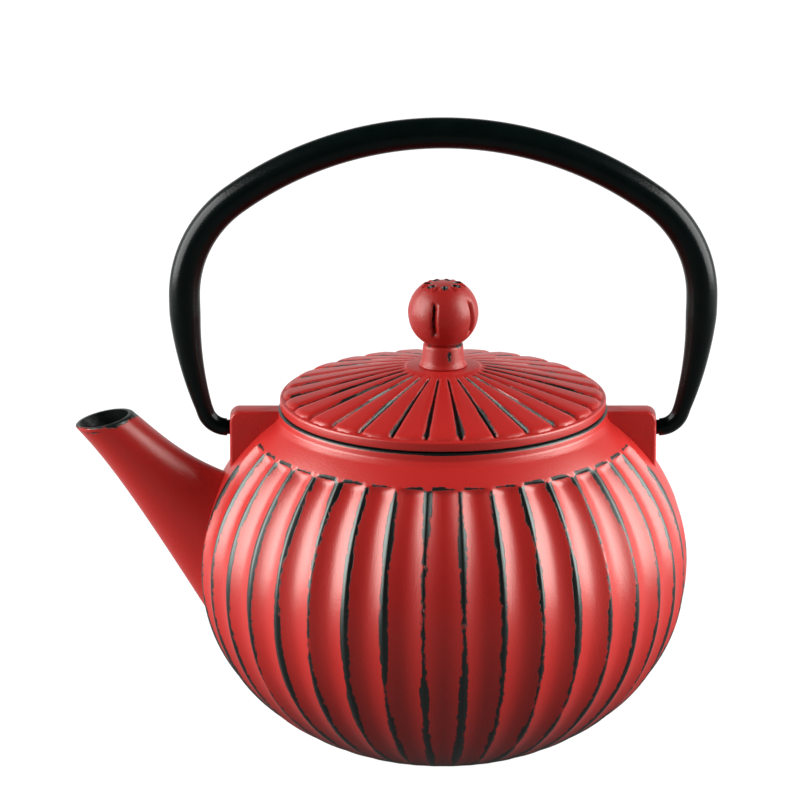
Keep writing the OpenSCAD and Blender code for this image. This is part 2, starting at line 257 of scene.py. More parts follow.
def two_slots(obj, index):
    """Gives a form two empty material slots, and puts all its faces in one."""
    for _ in range(2):
        obj.data.materials.append(None)
    obj.data.polygons.foreach_set("material_index", [index] * len(obj.data.polygons))


def combine(base, other, operation):
    """Joins other to base, or cuts it out, and then deletes other."""
    modifier = base.modifiers.new(operation.lower(), "BOOLEAN")
    modifier.operation = operation
    modifier.solver = "MANIFOLD"
    modifier.object = other
    apply_modifiers(base)
    bpy.data.objects.remove(other)


def arc(centre, radius, start, end, steps):
    """Points on an arc of a profile, with angles in degrees."""
    turns = [math.radians(mix(start, end, i / steps)) for i in range(steps + 1)]
    return [(centre[0] + radius * math.cos(a), centre[1] + radius * math.sin(a))
            for a in turns]


print("helpers: rings, closed ends, booleans and arcs")

# %% [markdown]
# ## The pot's skin
# The real pot is cast in sand: a pattern gives the outside, and a core gives
# the hollow. This model is made the same way. The skin starts as a plain
# turned form, with many rings where the flutes will end, so that their round
# ends stay crisp.

# %% Turn the pot's plain skin
COLUMNS_PER_FLUTE = 14
T_RING = oval_angle(FLUTE_RING_Z)
T_FOOT = oval_angle(0.0)
T_NECK = math.acos(NECK_R / BODY_R) - math.radians(1)
END_STEPS = (0, 0.1, 0.25, 0.45, 0.7, 1.0, 1.4, 1.9, 2.6, 3.6, 5.0)
BODY_ROWS = 46
SHOULDER_ROWS = 8
COLLAR_FILLET = 1.1 * MM
COLLAR_ROUND = 0.9 * MM


def pot_profile():
    """The outside from the foot up to the collar's top face."""
    low_end = T_RING - math.radians(END_STEPS[-1])
    ts = [mix(T_FOOT, low_end, i / BODY_ROWS) for i in range(BODY_ROWS)]
    ts += [T_RING - math.radians(d) for d in reversed(END_STEPS)]
    ts += [mix(T_RING, T_NECK, i / SHOULDER_ROWS) for i in range(1, SHOULDER_ROWS + 1)]
    fillet_z = NECK_TOP - NECK_H + COLLAR_FILLET + 0.3 * MM
    collar = arc((NECK_R + COLLAR_FILLET, fillet_z), COLLAR_FILLET, 235, 180, 4)
    rim = arc((NECK_R - COLLAR_ROUND, NECK_TOP - COLLAR_ROUND), COLLAR_ROUND, 0, 90, 5)
    return [oval_point(t) for t in ts] + collar + rim


skin = turned("pot", pot_profile(), FLUTE_COUNT * COLUMNS_PER_FLUTE)
print(f"plain skin: {len(skin.data.vertices)} points")

# %% [markdown]
# ## Hollowing the flutes
# The wall is a row of shallow hollows, like the flutes of a column, which
# meet in upright edges. Each hollow ends under the shoulder in a round scoop.
# A modeller could cut 38 flutes one by one, but a rule is surer: every point
# of the skin knows its angle, so it knows how far it is from the nearest
# edge, and it sinks by as much as the flute is deep there.

# %% Flute rules
HALF_FLUTE = math.pi / FLUTE_COUNT
EDGE_ROUND = 0.45 * MM
SCOOP = 2.2 * MM
SCOOP_EDGE = 0.2 * MM
END_DROP = math.radians(0.9)
END_REACH = math.radians(14)
CROWDING = 0.8
PANEL_Z = 58 * MM
PANEL_FADE = 12 * MM
FOOT_LEVEL = 0.1 * MM


def flute_place(x, y):
    """The flute's centre angle, and the place across it from -1 to 1."""
    angle = math.atan2(x, -y)
    centre = round(angle / (2 * HALF_FLUTE)) * 2 * HALF_FLUTE
    return centre, (angle - centre) / HALF_FLUTE


def crowd(u):
    """Crowds the columns towards the edges, where the form is tight."""
    return math.copysign(mix(abs(u), math.sin(abs(u) * math.pi / 2), CROWDING), u)


def from_edge(u, r):
    """Distance from the flute's nearest edge, along the wall."""
    return (1 - abs(u)) * HALF_FLUTE * r


def rounded(distance, radius):
    """A distance from an edge, softened as if the edge were rounded."""
    return math.hypot(distance, radius) - radius


def hollow(u, r):
    """Depth of the flute, from 0 at its edges to 1 in its middle."""
    return 1 - (1 - rounded(from_edge(u, r), EDGE_ROUND) / (HALF_FLUTE * r)) ** 2


def flute_size(r, z):
    """Depth of the flutes, which get shallower as they narrow to the foot."""
    return FLUTE_DEPTH * ((r / BODY_R) ** 1.5 if z < BELLY_Z else 1)


def under_lug(centre, z):
    """1 where the two flutes under a lug are filled by the plain panel."""
    near = 1 if abs(abs(centre) - math.pi / 2) < 1.5 * HALF_FLUTE else 0
    return near * smooth((z - PANEL_Z) / PANEL_FADE)


def start_angle(u):
    return T_RING - END_DROP * (1 - math.sqrt(max(0, 1 - u * u)))


def carve_flutes(obj):
    foot_r = oval_point(T_FOOT)[0]
    for v in obj.data.vertices:
        r, z = math.hypot(v.co.x, v.co.y), v.co.z
        if r < 1 * MM:
            continue
        centre, u = flute_place(v.co.x, v.co.y)
        u = crowd(u)
        angle = centre + u * HALF_FLUTE
        t = oval_place(r, z)[0]
        if t <= T_RING + 1e-4 and r > foot_r * 0.98:
            t -= (T_RING - start_angle(u)) * smooth((t - T_RING) / END_REACH + 1)
            below = rounded((start_angle(u) - t) * BODY_R, SCOOP_EDGE)
            scoop = math.sqrt(1 - (1 - clamp(below / SCOOP)) ** 2)
            deep = hollow(u, r) * (1 - under_lug(centre, z)) * scoop
            r, z = oval_point(t, -flute_size(r, z) * deep)
            if v.co.z < FOOT_LEVEL:
                z = 0.0
        v.co = (r * math.sin(angle), -r * math.cos(angle), z)


carve_flutes(skin)
print(f"{FLUTE_COUNT} flutes, {FLUTE_DEPTH / MM:.1f} mm deep")

# %% [markdown]
# ## The spout
# The spout is taller than it is wide where it leaves the pot, and round at
# its lip. It is a tube whose rings each hang between two smooth curves: the
# spout's upper edge and its lower edge. The same rule, set in by the wall,
# makes the channel that is cut out of it later.

# %% Spout forms
LIP_D = 17 * MM
LIP_LOW = Vector((SPOUT_TIP, 0, 92.4 * MM))
LIP_TILT = math.radians(13)
LIP_HIGH = LIP_LOW + LIP_D * Vector((math.cos(LIP_TILT), 0, math.sin(LIP_TILT)))
ROOT_W = 20 * MM
ROOT_FLARE = 1.5 * MM


def spout_bend(*steps):
    """A curve's four control points, each given in mm."""
    return [Vector((x * MM, 0, z * MM)) for x, z in steps]


UPPER = [LIP_HIGH, LIP_HIGH + Vector((9, 0, -7.5)) * MM,
         *spout_bend((-72, 79.7), (-50, 74.5))]
LOWER = [LIP_LOW, LIP_LOW + Vector((10.7, 0, -11.7)) * MM,
         *spout_bend((-87.2, 69.4), (-56.7, 19))]


def bezier(p, s):
    return (p[0] * (1 - s) ** 3 + 3 * p[1] * s * (1 - s) ** 2
            + 3 * p[2] * s * s * (1 - s) + p[3] * s ** 3)


def spout_ring(s, inset):
    """Middle, half height along the ring, half width, and direction."""
    top, low = bezier(UPPER, s), bezier(LOWER, s)
    width = mix(LIP_D / 2, ROOT_W / 2, max(0, s) ** 1.4) + ROOT_FLARE * s ** 6
    up = top - low
    return (top + low) / 2, up.length / 2 - inset, width - inset, up.normalized()


def spout_form(name, stations, count):
    """A closed tube through (share of the way to the root, inset) stations."""
    obj = first_ring(name, count, 1, 0)
    for _ in stations[1:]:
        next_ring(1, 1)
    mode("OBJECT")
    for v in obj.data.vertices:
        middle, half, side, up = spout_ring(*stations[round(v.co.z)])
        v.co = middle + up * half * v.co.x + Vector((0, side * v.co.y, 0))
    mode("EDIT")
    select_open_rings()
    bpy.ops.mesh.edge_face_add()
    face_outwards()
    return obj


SPOUT_ROWS, SPOUT_SIDES = 34, 72
CHANNEL_ROWS, CHANNEL_SIDES = 24, 40
LIP_ROWS = (0.01, 0.016, 0.022, 0.028, 0.034, 0.040, 0.046, 0.052)
LIP_WALL, SPOUT_WALL = 0.8 * MM, 2.6 * MM


def channel_station(i):
    """The channel starts past the lip, where the wall is thinned to an edge."""
    return mix(-0.05, 0.93, i / CHANNEL_ROWS), mix(LIP_WALL, SPOUT_WALL, clamp(i / 5))


outer_stations = [(0.0, 0.45 * MM), (0.004, 0.15 * MM)] + [(s, 0.0) for s in LIP_ROWS]
outer_stations += [(mix(0.06, 1, i / SPOUT_ROWS), 0.0) for i in range(SPOUT_ROWS + 1)]
spout = spout_form("spout", outer_stations, SPOUT_SIDES)
channel = spout_form(
    "channel", [channel_station(i) for i in range(CHANNEL_ROWS + 1)], CHANNEL_SIDES)
print(f"spout: {(LIP_HIGH - LIP_LOW).length / MM:.1f} mm across its lip")

# %% [markdown]
# ## The lugs
# Two flat plates stand up from the shoulder and hold the bail. Each starts
# as a cube, has its lower inner corner buried in the wall, and gets a round
# top corner and soft edges with Bevel.

# %% Lug forms
LUG_X = 60.9 * MM
LUG_T = 7.5 * MM
LUG_TOP = NECK_TOP - 0.5 * MM
LUG_LOW = BELLY_Z + 24 * MM
LUG_IN = NECK_R - 1.9 * MM
LUG_FOOT_RISE = 10 * MM
LUG_CORNER = 2.8 * MM
LUG_SOFT = 0.8 * MM
PIVOT_Z = 91.8 * MM
BORE_R = 2.18 * MM
BORE_DEPTH = 8 * MM


def select_edges(obj, wanted):
    """Selects the edges for which wanted(middle, direction) is true."""
    mode("EDIT")
    bpy.ops.mesh.select_mode(type="EDGE")
    bpy.ops.mesh.select_all(action="DESELECT")
    mode("OBJECT")
    points = obj.data.vertices
    for e in obj.data.edges:
        a, b = points[e.vertices[0]].co, points[e.vertices[1]].co
        e.select = wanted((a + b) / 2, (b - a).normalized())
    mode("EDIT")


def on_upper_corner(middle, direction):
    high = middle.z > LUG_TOP - MM
    return high and middle.x > LUG_X - MM and abs(direction.y) > 0.9


def on_outer_rim(middle, _direction):
    on_face = abs(abs(middle.y) - LUG_T / 2) < 0.1 * MM
    return on_face and (middle.x > LUG_X - 3 * MM or middle.z > LUG_TOP - 3 * MM)


def lug_form(side):
    deselect()
    bpy.ops.mesh.primitive_cube_add(size=1)
    obj = bpy.context.object
    obj.name = "lug"
    obj.scale = (LUG_X - LUG_IN, LUG_T, LUG_TOP - LUG_LOW)
    obj.location = ((LUG_X + LUG_IN) / 2, 0, (LUG_TOP + LUG_LOW) / 2)
    freeze()
    for v in obj.data.vertices:
        if v.co.x < LUG_X - MM and v.co.z < LUG_TOP - MM:
            v.co.z += LUG_FOOT_RISE
    select_edges(obj, on_upper_corner)
    bpy.ops.mesh.bevel(offset=LUG_CORNER, segments=8, profile=0.5)
    select_edges(obj, on_outer_rim)
    bpy.ops.mesh.bevel(offset=LUG_SOFT, segments=4, profile=0.5)
    mode("OBJECT")
    if side < 0:
        obj.data.transform(Matrix.Rotation(math.pi, 4, "Z"))
    return obj


def bore_form(side):
    deselect()
    bpy.ops.mesh.primitive_cylinder_add(
        vertices=48, radius=BORE_R, depth=2 * BORE_DEPTH,
        location=(side * LUG_X, 0, PIVOT_Z), rotation=(0, math.pi / 2, 0))
    obj = bpy.context.object
    freeze()
    return obj


print(f"lugs: {LUG_T / MM:.1f} mm thick, their bores {PIVOT_Z / MM:.1f} mm up")

# %% [markdown]
# ## The core
# The core is the shape of the hollow: the oval set in by the iron's
# thickness, a flat floor, the mouth, and the ledge that the infuser hangs
# on. Cutting it out leaves the wall.

# %% Core form
WALL = 2.6 * MM
FLOOR = 4 * MM
MOUTH_R = 41 * MM
LEDGE_R = 44 * MM
LEDGE_H = 2 * MM
CORE_SIDES = 144
CORE_ROWS = 40
FLOOR_SLOPE_W, FLOOR_SLOPE_H = 4 * MM, 2 * MM


def core_form():
    inset = -FLUTE_DEPTH - WALL
    t_low = oval_angle(FLOOR + FLOOR_SLOPE_H, -inset)
    t_high = math.acos(MOUTH_R / (BODY_R + inset))
    side = [oval_point(mix(t_low, t_high, i / CORE_ROWS), inset)
            for i in range(CORE_ROWS + 1)]
    foot_r = side[0][0]
    foot = [(foot_r - FLOOR_SLOPE_W, FLOOR), (foot_r - 1.2 * MM, FLOOR + 0.6 * MM)]
    ledge = NECK_TOP - LEDGE_H
    mouth = [(MOUTH_R, ledge - 0.5 * MM), (MOUTH_R + 0.5 * MM, ledge),
             (LEDGE_R - 0.1 * MM, ledge), (LEDGE_R, ledge + 0.3 * MM),
             (LEDGE_R, NECK_TOP - 0.5 * MM), (LEDGE_R + 0.6 * MM, NECK_TOP + 0.1 * MM),
             (LEDGE_R + 0.6 * MM, NECK_TOP + MM)]
    return turned("core", foot + side + mouth, CORE_SIDES)


print(f"core: {CORE_SIDES} sides, a mouth of {2 * MOUTH_R / MM:.0f} mm")

# %% [markdown]
# ## One casting
# The solid forms are joined first, and the hollow ones are cut out of them
# after that. Every form has two material slots, and the faces of the forms
# that are cut out are in the second one, so that the inside can be black
# while the outside is red. The flat foot, which the spray doesn't reach
# either, joins them.

# %% Join and cut the casting
two_slots(skin, 0)
for part in [spout, lug_form(1), lug_form(-1)]:
    two_slots(part, 0)
    combine(skin, part, "UNION")
for part in [core_form(), channel, bore_form(1), bore_form(-1)]:
    two_slots(part, 1)
    combine(skin, part, "DIFFERENCE")
pot = skin
for face in pot.data.polygons:
    if face.center.z < FOOT_LEVEL:
        face.material_index = 1
print(f"pot casting: {len(pot.data.polygons)} faces")

# %% [markdown]
# ## The lid
# The lid is a second casting. Its top is a low dome with broad ribs, round
# at their shoulders, that run out from a smooth hub and end in rounded
# tongues just inside the edge. They stand a little above the edge, so the
# lid's far side shows as a row of low waves. Below, it is hollow, with a
# skirt that centres it in the infuser. So its profile goes all the way
# round: out along the underside, down and up the skirt, round the edge, and
# in over the dome to the screw's hole.

# %% Turn the lid and carve its ribs
LID_BASE = NECK_TOP + 0.1 * MM
LID_EDGE = LID_BASE + 3.1 * MM
LID_R, LID_TOP, SKIRT_LOW = lid_high.x, lid_high.z, lid_low.z
SKIRT_R = 36 * MM
LID_INNER_R = SKIRT_R - 3 * MM
BOSS_FACE = LID_TOP - 4.6 * MM
HOLE_R = 1.9 * MM
HUB_R = 10.9 * MM
LID_RIBS = 28
LID_COLUMNS_PER_RIB = 16
LID_RIB_DEPTH = 1.6 * MM
HALF_RIB = math.pi / LID_RIBS
TONGUE_END_R = LID_R - 0.95 * MM
TONGUE_ROUND = 2.0 * MM
TONGUE_CURVE = 1.5 * MM
TONGUE_RISE = 1.1 * MM
HUB_STEP = 0.4 * MM
LID_ROW_SHARES = ([i * 0.012 for i in range(12)] + [0.15 + i * 0.0283 for i in range(25)]
                  + [0.85 + i * 0.0083 for i in range(19)])


def dome_z(s):
    return mix(LID_TOP - HUB_STEP, LID_EDGE + TONGUE_RISE, max(0, s) ** 1.15)


def dome_share(r):
    return (r - HUB_R) / (LID_R - 1.5 * MM - HUB_R)


def lid_profile():
    under = [(HOLE_R, BOSS_FACE), (HOLE_R + 6.6 * MM, BOSS_FACE),
             (LID_INNER_R - 0.5 * MM, LID_EDGE - MM),
             (LID_INNER_R, LID_EDGE - 1.5 * MM), (LID_INNER_R, SKIRT_LOW + 0.5 * MM),
             (LID_INNER_R + 0.5 * MM, SKIRT_LOW), (SKIRT_R - 0.5 * MM, SKIRT_LOW),
             (SKIRT_R, SKIRT_LOW + 0.5 * MM), (SKIRT_R, LID_BASE - 0.3 * MM),
             (SKIRT_R + 0.3 * MM, LID_BASE)]
    edge = arc((LID_R - 0.8 * MM, LID_BASE + 0.8 * MM), 0.8 * MM, -90, 0, 5)
    edge += arc((LID_R - 0.7 * MM, LID_EDGE - 0.7 * MM), 0.7 * MM, 0, 80, 5)
    dome = [(mix(HUB_R, TONGUE_END_R, s), LID_EDGE) for s in reversed(LID_ROW_SHARES)]
    hub = [(HUB_R - 0.3 * MM, LID_TOP - 0.12 * MM), (HUB_R - 0.7 * MM, LID_TOP),
           (HOLE_R, LID_TOP)]
    return under + edge + dome + hub


def lid_place(p):
    """The rib's centre angle, and the place across it from -1 to 1."""
    angle = math.atan2(p.x, -p.y)
    centre = round(angle / (2 * HALF_RIB)) * 2 * HALF_RIB
    return centre, (angle - centre) / HALF_RIB


def rib_rise(u, r):
    """Height over the channels: a steep wall, and then a round shoulder."""
    s = dome_share(r)
    side = (1 - abs(u)) * HALF_RIB * r - mix(0.15, 0.4, s) * MM
    wall = smooth(side / (0.3 * MM))
    shoulder = clamp(side / (mix(0.8, 2.2, s) * MM))
    crown = 1 - u * u
    return 0.35 * wall + 0.57 * math.sqrt(1 - (1 - shoulder) ** 2) + 0.08 * crown


def carve_lid(obj):
    for v in obj.data.vertices:
        r = math.hypot(v.co.x, v.co.y)
        centre, u = lid_place(v.co)
        u = crowd(u)
        angle = centre + u * HALF_RIB
        v.co.xy = r * math.sin(angle), -r * math.cos(angle)
        if abs(v.co.z - LID_EDGE) > 1e-6 or r > TONGUE_END_R + 1e-6:
            continue
        s, rise = dome_share(r), rib_rise(u, r)
        depth = LID_RIB_DEPTH * mix(0.4, 1, s) * smooth(s / 0.05)
        end_r = TONGUE_END_R - TONGUE_CURVE * (1 - math.sqrt(1 - u * u))
        outside = 1 - clamp((end_r - r) / TONGUE_ROUND)
        v.co.z = mix(LID_EDGE, dome_z(s) - depth * (1 - rise), math.sqrt(1 - outside ** 2))


def line_lid(obj):
    """Puts the underside, the skirt and the screw's hole in the second slot."""
    two_slots(obj, 0)
    for p in obj.data.polygons:
        r = p.center.xy.length
        below = p.normal.z < -0.3 or p.center.z < LID_BASE
        if r < LID_R - 1.5 * MM and below or r < HOLE_R + 0.1 * MM:
            p.material_index = 1


lid = band("lid_casting", lid_profile(), LID_RIBS * LID_COLUMNS_PER_RIB)
carve_lid(lid)
line_lid(lid)
print(f"lid: {len(lid.data.polygons)} faces, {LID_RIBS} ribs")

# %% [markdown]
# ## The knob
# The knob is a ball on a short conical stem. Its ball has five upright
# slits, straight and slim, and a ring of small pits round the edge of its
# flat crown. All of it is turned first, with close rings and columns, and
# then the slits and pits are pressed in by a rule.

# %% Turn the knob and press in its slits
BALL_R = knob_high.x
BALL_Z = knob_high.z + 0.5 * MM - BALL_R
KNOB_SIDES = 240
BALL_ROWS = 88
CROWN_ROWS = 14
STEM_H = 6.8 * MM
SLITS = [math.radians(a) for a in (-17, 55, 127, 199, 271)]
SLIT_DEEP, SLIT_HALF_H, SLIT_END = 1.4 * MM, 5.6 * MM, 2 * MM
SLIT_LEFT_W, SLIT_RIGHT_W = 0.8 * MM, 1.5 * MM
PITS = [math.radians(5 + i * 360 / 7) for i in range(7)]
CROWN_Z = BALL_Z + BALL_R - 1.5 * MM
CROWN_R = 5.3 * MM
HALF_PIT = math.pi / len(PITS)
PIT_RING_R = 4.4 * MM
PIT_DEEP, PIT_L, PIT_W = 1.3 * MM, 1.5 * MM, 1.1 * MM
NOTCH_DEEP, NOTCH_L, NOTCH_W = 0.6 * MM, 1.2 * MM, 1.1 * MM


def knob_profile():
    """The stem in mm above the lid, then the ball, then its flat crown."""
    stem = [(2.2, 0.02), (6.5, 0.02), (6.75, 0.2), (6.8, 0.45), (6.6, 0.8),
            (6.3, 1.15), (6.15, 1.6), (6.05, 2.6), (5.95, 3.6), (5.85, 4.6),
            (5.75, 5.6), (5.7, 6.2), (5.45, 6.5)]
    stem = [(r * MM, LID_TOP + z * MM) for r, z in stem]
    start = math.degrees(math.asin(-(BALL_Z - LID_TOP - STEM_H) / BALL_R))
    end = math.degrees(math.asin((CROWN_Z - BALL_Z - 0.3 * MM) / BALL_R))
    ball = arc((0, BALL_Z), BALL_R, start, end, BALL_ROWS)
    edge_r = ball[-1][0]
    rounding = ((0.15, 0.15), (0.4, 0.05), (0.75, 0))
    crown = [(edge_r - d * MM, CROWN_Z - drop * MM) for d, drop in rounding]
    for i in range(CROWN_ROWS + 1):
        rise = 0.25 * MM * smooth(i / CROWN_ROWS)
        crown.append((mix(edge_r - 1.1 * MM, 0.6 * MM, i / CROWN_ROWS), CROWN_Z + rise))
    return stem + ball + crown


def dent(deep, a, b):
    """Depth of a round dent at the shares a and b of its two half widths."""
    return deep * max(0, 1 - a ** 2 - b ** 2)


def press_knob(obj):
    """Presses in the slits and pits, and returns a black share for each point: black in the
    pits, and painted shade on one wall of each slit.
    """
    marks = []
    for v in obj.data.vertices:
        p = Vector(v.co) - Vector((0, 0, BALL_Z))
        r, angle = math.hypot(p.x, p.y), math.atan2(p.x, -p.y)
        slit = dark = pit = notch = 0.0
        for a in SLITS:
            off = ((angle - a + math.pi) % (2 * math.pi) - math.pi) * r
            wide = SLIT_LEFT_W if off < 0 else SLIT_RIGHT_W
            ends = smooth((SLIT_HALF_H - abs(p.z)) / SLIT_END)
            press = SLIT_DEEP * ends * max(0, 1 - abs(off) / wide)
            if press > slit:
                slit, dark = press, clamp(1.1 - off / (0.4 * MM))
        for a in PITS:
            out, across = r * math.cos(angle - a) - PIT_RING_R, r * math.sin(angle - a)
            gap = abs((angle - a) % (2 * HALF_PIT) - HALF_PIT) * CROWN_R
            if p.z > 6.5 * MM and out > -2 * MM:
                pit = max(pit, dent(PIT_DEEP, out / PIT_L, across / PIT_W))
                notch = max(notch, dent(NOTCH_DEEP, gap / NOTCH_W, (r - CROWN_R) / NOTCH_L))
        if r > 1 * MM and p.length > 0.6 * BALL_R:
            v.co = Vector((0, 0, BALL_Z)) + p * (1 - max(slit, pit, notch) / p.length)
        # painted shade: the slit's left wall is darkened towards black, for the shadow in
        # the slit
        slit_shade = 0.6 * dark * clamp((slit - 0.1 * MM) / (0.6 * MM))
        marks.append(max(slit_shade, clamp(pit / (0.3 * MM))))
    return marks


knob = turned("knob_casting", knob_profile(), KNOB_SIDES)
knob_marks = press_knob(knob)
print(f"knob: ball {2 * BALL_R / MM:.1f} mm, {len(SLITS)} slits, {len(PITS)} pits")

# %% [markdown]
# ## The bail
# The handle is one bent steel tube, drawn thinner down its legs. It is four
# arcs on each side: a flat arch, a round corner, a long leg, and a tight
# bend that turns the thin end in to the lug. The end itself is the pin. The
# tube is stacked as straight rings first, and each ring is then set on the
# path, as a modeller would hook a tube to a curve.

# %% Bend the bail
PIN_X = LUG_X + 0.8 * MM
BAIL_R, BAIL_END_R, PIN_R = 4.45 * MM, 2.5 * MM, 2.1 * MM
HALF_W, TOP_Z, WIDE_Z = 73.7 * MM, 178.8 * MM, 131 * MM
CORNER_R, BEND_R = 35 * MM, 6.5 * MM
BAIL_SIDES = 32
TAPER_END = 6 * MM
DROP = TOP_Z - WIDE_Z
ARCH_R = ((HALF_W - CORNER_R) ** 2 + DROP ** 2 - CORNER_R ** 2) / (2 * (DROP - CORNER_R))
LEG_IN, LEG_H = HALF_W - PIN_X, WIDE_Z - PIVOT_Z
LEG_R = ((LEG_H - BEND_R) ** 2 + LEG_IN ** 2 - BEND_R ** 2) / (2 * (LEG_IN - BEND_R))
ARCH_TURN = math.degrees(math.atan2(HALF_W - CORNER_R, ARCH_R - DROP))
LEG_TURN = math.degrees(math.atan2(LEG_H - BEND_R, LEG_R - LEG_IN))


def bail_radius(z):
    low, top = PIVOT_Z + TAPER_END, WIDE_Z - TAPER_END
    return mix(BAIL_END_R, BAIL_R, clamp((z - low) / (top - low)))


def half_bail():
    """(x, z, heading, radius) down the right half, and in along the pin."""
    path = []
    for x, z, r, start, end, steps in [
            (0, TOP_Z - ARCH_R, ARCH_R, 0, ARCH_TURN, 26),
            (HALF_W - CORNER_R, WIDE_Z, CORNER_R, ARCH_TURN, 90, 22),
            (HALF_W - LEG_R, WIDE_Z, LEG_R, 90, 90 + LEG_TURN, 20),
            (PIN_X, PIVOT_Z + BEND_R, BEND_R, 90 + LEG_TURN, 180, 16)]:
        for i in range(steps):
            a = math.radians(mix(start, end, i / steps))
            path.append([x + r * math.sin(a), z + r * math.cos(a), a])
    path = [(x, z, a, bail_radius(z)) for x, z, a in path]
    pin = [(0.3, BAIL_END_R), (0.1, BAIL_END_R - 0.05 * MM), (0, BAIL_END_R - 0.25 * MM),
           (0, PIN_R), (-0.8, PIN_R), (-6.6, PIN_R), (-7.4, PIN_R - 0.1 * MM),
           (-7.6, PIN_R - 0.4 * MM)]
    return path + [(PIN_X + dx * MM, PIVOT_Z, math.pi, r) for dx, r in pin]


def bail_form():
    half = half_bail()
    rings = [(-x, z, -a, r) for x, z, a, r in reversed(half[1:])] + half
    obj = first_ring("bail", BAIL_SIDES, 1, 0)
    for _ in rings[1:]:
        next_ring(1, 1)
    close_ring()
    mode("OBJECT")
    for v in obj.data.vertices:
        i = min(round(v.co.z), len(rings) - 1)
        x, z, a, r = rings[i]
        v.co = (x + r * v.co.x * math.sin(a), r * v.co.y, z + r * v.co.x * math.cos(a))
    mode("EDIT")
    select_open_rings()
    bpy.ops.mesh.edge_face_add()
    face_outwards()
    return obj


bail = bail_form()
print(f"bail: {2 * HALF_W / MM:.1f} mm wide, {len(bail.data.polygons)} faces")

# %% [markdown]
# ## The infuser
# The basket is thin stainless sheet. A pressed rim hangs on the ledge in the
# pot's mouth, a ring is folded round the base, and between them are a wall
# and a base of sheet full of small holes.

# %% Press the rim and the base ring
SHEET = 0.6 * MM
BASKET_R = 38.5 * MM
FLANGE_Z = NECK_TOP - LEDGE_H
BASKET_LOW = FLANGE_Z - 56 * MM
FLANGE_R = LEDGE_R - 0.4 * MM
BAND_LOW = FLANGE_Z - 9 * MM
BASE_RING_TOP = BASKET_LOW + 5 * MM
HEM_R = BASKET_R - 5 * MM
RIM_SIDES = 128


def rim_profile():
    inner, top = BASKET_R - SHEET, FLANGE_Z + SHEET
    return [(inner, BAND_LOW + 0.1 * MM), (inner + 0.15 * MM, BAND_LOW),
            (BASKET_R - 0.1 * MM, BAND_LOW), (BASKET_R, BAND_LOW + 0.2 * MM),
            (BASKET_R, FLANGE_Z - 0.5 * MM), (BASKET_R + 0.15 * MM, FLANGE_Z - 0.15 * MM),
            (BASKET_R + 0.5 * MM, FLANGE_Z), (FLANGE_R - 0.25 * MM, FLANGE_Z),
            (FLANGE_R, FLANGE_Z + 0.2 * MM), (FLANGE_R, top - 0.2 * MM),
            (FLANGE_R - 0.25 * MM, top), (inner + MM, top),
            (inner + 0.3 * MM, top - 0.3 * MM), (inner, FLANGE_Z - 0.4 * MM)]


def base_ring_profile():
    inner, low, top = BASKET_R - SHEET, BASKET_LOW, BASE_RING_TOP
    return [(HEM_R, low + 0.15 * MM), (HEM_R + 0.2 * MM, low), (BASKET_R - 0.8 * MM, low),
            (BASKET_R - 0.2 * MM, low + 0.2 * MM), (BASKET_R, low + 0.8 * MM),
            (BASKET_R, top - 0.1 * MM), (BASKET_R - 0.15 * MM, top),
            (inner + 0.1 * MM, top), (inner, top - 0.1 * MM), (inner, low + 1.1 * MM),
            (inner - 0.4 * MM, low + SHEET), (HEM_R + 0.1 * MM, low + SHEET)]


rim = band("infuser_rim_sheet", rim_profile(), RIM_SIDES)
base_ring = band("infuser_base_band", base_ring_profile(), RIM_SIDES)
print(f"rim and base ring: {RIM_SIDES} sides each")

# %% [markdown]
# ## The holes
# Each hole is real: a grid's faces are inset one by one, the small faces are
# deleted, and Solidify gives the sheet its thickness. The wall is a tube of
# square faces, and the base is a square grid, cut to a disc.

# %% Punch the wall and the base
WALL_R = BASKET_R - SHEET - 0.01 * MM
WALL_LOW, WALL_TOP = BASKET_LOW + SHEET + 0.05 * MM, FLANGE_Z - 2.3 * MM
HOLES_ROUND = 150
PITCH = 2 * math.pi * WALL_R / HOLES_ROUND
HALF_WEB = 0.33 * MM
MESH_T = 0.5 * MM
BASE_GRID = 48
BASE_R = WALL_R - 0.9 * MM
BASE_MARGIN = 3.4 * MM


def punch(obj, wanted):
    """Cuts a hole in every face for which wanted(face middle) is true."""
    make_active(obj)
    mode("EDIT")
    bpy.ops.mesh.select_mode(type="FACE")
    bpy.ops.mesh.select_all(action="DESELECT")
    mode("OBJECT")
    for p in obj.data.polygons:
        p.select = wanted(p.center)
    mode("EDIT")
    bpy.ops.mesh.inset(thickness=HALF_WEB, use_individual=True, use_even_offset=True)
    bpy.ops.mesh.delete(type="FACE")
    mode("OBJECT")


def thicken(obj):
    modifier = obj.modifiers.new("sheet", "SOLIDIFY")
    modifier.thickness, modifier.offset = MESH_T, -1
    modifier.use_even_offset = False
    apply_modifiers(obj)


def wall_form():
    rows = round((WALL_TOP - WALL_LOW) / PITCH)
    obj = first_ring("infuser_wall_mesh", HOLES_ROUND, WALL_R, WALL_LOW)
    for _ in range(rows):
        next_ring(1, (WALL_TOP - WALL_LOW) / rows)
    face_outwards()
    punch(obj, lambda m: BASE_RING_TOP + 0.5 * MM < m.z < BAND_LOW - 0.4 * MM)
    thicken(obj)
    return obj


